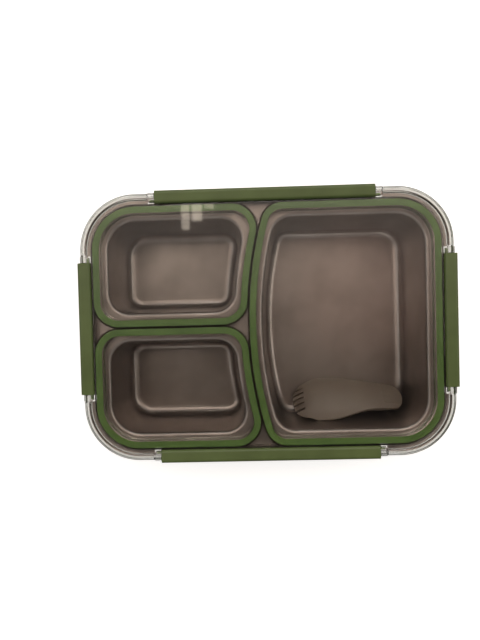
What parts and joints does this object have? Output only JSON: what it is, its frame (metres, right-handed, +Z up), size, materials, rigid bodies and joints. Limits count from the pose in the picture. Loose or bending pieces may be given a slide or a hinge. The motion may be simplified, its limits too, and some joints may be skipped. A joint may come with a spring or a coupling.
{
  "type": "bento lunch box",
  "caption": "Closed lunch box with a clear snap-clip lid over a pressed steel tray of one large and paired small wells, green gaskets and clips, outer case, folding spork inside",
  "frame": {"origin": "centre of the base, on the table", "axes": "+X along the length, towards the large well; +Y from front to back; +Z up"},
  "size_m": [0.2512, 0.1836, 0.0607],
  "materials": {
    "case_plastic": "moulded satin polypropylene, olive green",
    "tray_steel": "pressed stainless sheet, satin polished",
    "lid_plastic": "clear moulded plastic, faintly smoked, polished",
    "seal_silicone": "moulded silicone, leaf green, satin",
    "clip_plastic": "moulded polypropylene, leaf green, fine satin",
    "spork_plastic": "moulded plastic, grey-brown, satin",
    "pin_steel": "drawn stainless wire"
  },
  "bodies": {
    "case": {"case": "case_plastic"},
    "tray": {"tray": "tray_steel"},
    "lid": {"lid": "lid_plastic", "seal_rear": "seal_silicone", "seal_front": "seal_silicone", "seal_large": "seal_silicone"},
    "clip_right": {"clip_right": "clip_plastic"},
    "clip_rear": {"clip_rear": "clip_plastic"},
    "clip_left": {"clip_left": "clip_plastic"},
    "clip_front": {"clip_front": "clip_plastic"},
    "spork_handle": {"spork_handle": "spork_plastic", "spork_pin": "pin_steel"},
    "spork_head": {"spork_head": "spork_plastic"}
  },
  "joints": [
    {"name": "tray_lift", "type": "slide", "parent": "case", "child": "tray", "axis": [0, 0, 1], "range_m": [0, 0.06]},
    {"name": "lid_lift", "type": "slide", "parent": "tray", "child": "lid", "axis": [0, 0, 1], "range_m": [0, 0.04]},
    {"name": "clip_right_swing", "type": "hinge", "parent": "lid", "child": "clip_right", "pos_m": [0.1154, 0, 0.0585], "axis": [0, -1, 0], "range_deg": [-6, 94]},
    {"name": "clip_rear_swing", "type": "hinge", "parent": "lid", "child": "clip_rear", "pos_m": [0, 0.08165, 0.0585], "axis": [1, 0, 0], "range_deg": [-6, 94]},
    {"name": "clip_left_swing", "type": "hinge", "parent": "lid", "child": "clip_left", "pos_m": [-0.1154, 0, 0.0585], "axis": [0, 1, 0], "range_deg": [-6, 94]},
    {"name": "clip_front_swing", "type": "hinge", "parent": "lid", "child": "clip_front", "pos_m": [0, -0.08165, 0.0585], "axis": [-1, 0, 0], "range_deg": [-6, 94]},
    {"name": "spork_lift", "type": "slide", "parent": "tray", "child": "spork_handle", "axis": [0, 0, 1], "range_m": [0, 0.018]},
    {"name": "spork_fold", "type": "hinge", "parent": "spork_handle", "child": "spork_head", "pos_m": [0.08769, -0.05723, 0.0183], "axis": [-0.0249, 0.7128, -0.7009], "range_deg": [0, 20]}
  ]
}
